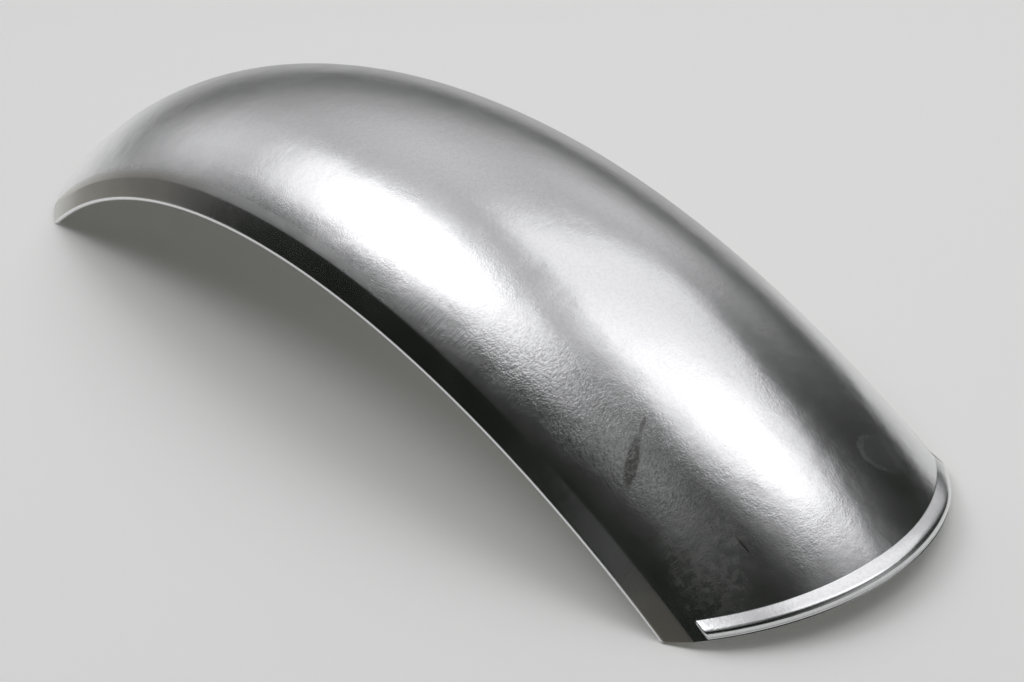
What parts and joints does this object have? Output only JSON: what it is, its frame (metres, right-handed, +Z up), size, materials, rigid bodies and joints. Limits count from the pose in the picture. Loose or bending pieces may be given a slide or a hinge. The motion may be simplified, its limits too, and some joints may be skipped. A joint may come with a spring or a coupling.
{
  "type": "motorcycle rear fender",
  "caption": "Bare steel motorcycle rear fender: a crowned, arched sheet with narrow side margins, flat-trimmed ends and a half-round bead pressed along the rear end.",
  "frame": {"origin": "on the ground under the middle of the arch, the fender standing on its four corners", "axes": "+X along the fender to its beaded rear end, +Y to its left, +Z up"},
  "size_m": [0.4636, 0.12, 0.0881],
  "materials": {
    "bare_steel": "bare planished mild steel, semi-bright, with handling smudges and light stains"
  },
  "bodies": {
    "root": {"fender": "bare_steel"}
  },
  "joints": []
}
